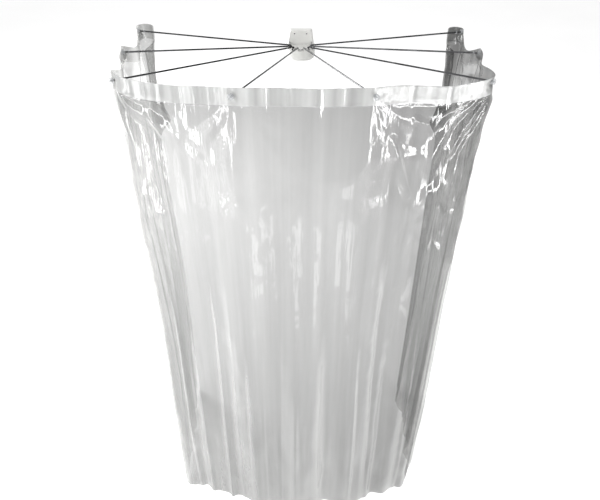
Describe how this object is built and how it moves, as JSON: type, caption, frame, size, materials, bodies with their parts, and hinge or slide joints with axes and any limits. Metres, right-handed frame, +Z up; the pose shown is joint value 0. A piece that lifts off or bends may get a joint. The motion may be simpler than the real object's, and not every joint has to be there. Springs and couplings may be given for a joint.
{
  "type": "folding shower enclosure",
  "caption": "Wall-hung folding shower enclosure: wire arms fan out from a white hub bracket and fold up like umbrella ribs, carrying a clear hemmed film on their tips.",
  "frame": {"origin": "on the wall, at the middle of the wall plate's back face and at the level of the hub ring", "axes": "+Z up, +Y into the wall, +X to the right of someone facing the wall"},
  "size_m": [1.0354, 0.6506, 1.8],
  "materials": {
    "white_plastic": "satin",
    "bright_wire": "polished",
    "screw_steel": "satin",
    "cap_plastic": "gloss",
    "clear_film": "gloss"
  },
  "bodies": {
    "bracket": {"wall_plate": "white_plastic", "hub_nose": "white_plastic", "hub_ring": "bright_wire", "nose_screws": "screw_steel"},
    "left_back_arm": {"left_back_rod": "bright_wire", "left_back_collar": "cap_plastic", "left_back_cap": "cap_plastic"},
    "left_back_drape": {"left_back_film": "clear_film"},
    "left_middle_arm": {"left_middle_rod": "bright_wire", "left_middle_collar": "cap_plastic", "left_middle_cap": "cap_plastic"},
    "left_middle_drape": {"left_middle_film": "clear_film"},
    "left_front_arm": {"left_front_rod": "bright_wire", "left_front_collar": "cap_plastic", "left_front_cap": "cap_plastic"},
    "left_front_drape": {"left_front_film": "clear_film"},
    "front_left_arm": {"front_left_rod": "bright_wire", "front_left_collar": "cap_plastic", "front_left_cap": "cap_plastic"},
    "front_left_drape": {"front_left_film": "clear_film"},
    "front_right_arm": {"front_right_rod": "bright_wire", "front_right_collar": "cap_plastic", "front_right_cap": "cap_plastic"},
    "front_right_drape": {"front_right_film": "clear_film"},
    "right_front_arm": {"right_front_rod": "bright_wire", "right_front_collar": "cap_plastic", "right_front_cap": "cap_plastic"},
    "right_front_drape": {"right_front_film": "clear_film"},
    "right_middle_arm": {"right_middle_rod": "bright_wire", "right_middle_collar": "cap_plastic", "right_middle_cap": "cap_plastic"},
    "right_middle_drape": {"right_middle_film": "clear_film"},
    "right_back_arm": {"right_back_rod": "bright_wire", "right_back_collar": "cap_plastic", "right_back_cap": "cap_plastic"},
    "right_back_drape": {"right_back_film": "clear_film"}
  },
  "joints": [
    {"name": "left_back_fold", "type": "hinge", "parent": "bracket", "child": "left_back_arm", "pos_m": [-0.03589, -0.06086, 0], "axis": [-0.0793, 0.9968, 0], "range_deg": [0, 79]},
    {"name": "left_back_hang", "type": "hinge", "parent": "left_back_arm", "child": "left_back_drape", "pos_m": [-0.49999, -0.09779, 0.058], "axis": [-0.0793, 0.9968, 0], "range_deg": [-79, 0], "deforming": ["left_back_film"]},
    {"name": "left_middle_fold", "type": "hinge", "parent": "bracket", "child": "left_middle_arm", "pos_m": [-0.03231, -0.07388, 0], "axis": [-0.4412, 0.8974, 0], "range_deg": [0, 79]},
    {"name": "left_middle_hang", "type": "hinge", "parent": "left_middle_arm", "child": "left_middle_drape", "pos_m": [-0.502, -0.3048, 0.058], "axis": [-0.4412, 0.8974, 0], "range_deg": [-79, 0], "deforming": ["left_middle_film"]},
    {"name": "left_front_fold", "type": "hinge", "parent": "bracket", "child": "left_front_arm", "pos_m": [-0.02566, -0.08325, 0], "axis": [-0.7014, 0.7128, 0], "range_deg": [0, 79]},
    {"name": "left_front_hang", "type": "hinge", "parent": "left_front_arm", "child": "left_front_drape", "pos_m": [-0.47991, -0.53022, 0.058], "axis": [-0.7014, 0.7128, 0], "range_deg": [-79, 0], "deforming": ["left_front_film"]},
    {"name": "front_left_fold", "type": "hinge", "parent": "bracket", "child": "front_left_arm", "pos_m": [-0.01029, -0.0925, 0], "axis": [-0.9582, 0.286, 0], "range_deg": [0, 79]},
    {"name": "front_left_hang", "type": "hinge", "parent": "front_left_arm", "child": "front_left_drape", "pos_m": [-0.17219, -0.635, 0.058], "axis": [-0.9582, 0.286, 0], "range_deg": [-79, 0], "deforming": ["front_left_film"]},
    {"name": "front_right_fold", "type": "hinge", "parent": "bracket", "child": "front_right_arm", "pos_m": [0.01029, -0.0925, 0], "axis": [-0.9582, -0.286, 0], "range_deg": [0, 79]},
    {"name": "front_right_hang", "type": "hinge", "parent": "front_right_arm", "child": "front_right_drape", "pos_m": [0.17219, -0.635, 0.058], "axis": [-0.9582, -0.286, 0], "range_deg": [-79, 0], "deforming": ["front_right_film"]},
    {"name": "right_front_fold", "type": "hinge", "parent": "bracket", "child": "right_front_arm", "pos_m": [0.02566, -0.08325, 0], "axis": [-0.7014, -0.7128, 0], "range_deg": [0, 79]},
    {"name": "right_front_hang", "type": "hinge", "parent": "right_front_arm", "child": "right_front_drape", "pos_m": [0.47991, -0.53022, 0.058], "axis": [-0.7014, -0.7128, 0], "range_deg": [-79, 0], "deforming": ["right_front_film"]},
    {"name": "right_middle_fold", "type": "hinge", "parent": "bracket", "child": "right_middle_arm", "pos_m": [0.03231, -0.07388, 0], "axis": [-0.4412, -0.8974, 0], "range_deg": [0, 79]},
    {"name": "right_middle_hang", "type": "hinge", "parent": "right_middle_arm", "child": "right_middle_drape", "pos_m": [0.502, -0.3048, 0.058], "axis": [-0.4412, -0.8974, 0], "range_deg": [-79, 0], "deforming": ["right_middle_film"]},
    {"name": "right_back_fold", "type": "hinge", "parent": "bracket", "child": "right_back_arm", "pos_m": [0.03589, -0.06086, 0], "axis": [-0.0793, -0.9968, 0], "range_deg": [0, 79]},
    {"name": "right_back_hang", "type": "hinge", "parent": "right_back_arm", "child": "right_back_drape", "pos_m": [0.49999, -0.09779, 0.058], "axis": [-0.0793, -0.9968, 0], "range_deg": [-79, 0], "deforming": ["right_back_film"]}
  ],
  "couplings": [
    {"joint": "left_back_fold", "follows": "left_front_fold", "ratio": 1},
    {"joint": "left_back_hang", "follows": "left_front_fold", "ratio": -1},
    {"joint": "left_middle_fold", "follows": "left_front_fold", "ratio": 1},
    {"joint": "left_middle_hang", "follows": "left_front_fold", "ratio": -1},
    {"joint": "left_front_hang", "follows": "left_front_fold", "ratio": -1},
    {"joint": "front_left_fold", "follows": "left_front_fold", "ratio": 1},
    {"joint": "front_left_hang", "follows": "left_front_fold", "ratio": -1},
    {"joint": "front_right_fold", "follows": "left_front_fold", "ratio": 1},
    {"joint": "front_right_hang", "follows": "left_front_fold", "ratio": -1},
    {"joint": "right_front_fold", "follows": "left_front_fold", "ratio": 1},
    {"joint": "right_front_hang", "follows": "left_front_fold", "ratio": -1},
    {"joint": "right_middle_fold", "follows": "left_front_fold", "ratio": 1},
    {"joint": "right_middle_hang", "follows": "left_front_fold", "ratio": -1},
    {"joint": "right_back_fold", "follows": "left_front_fold", "ratio": 1},
    {"joint": "right_back_hang", "follows": "left_front_fold", "ratio": -1}
  ]
}
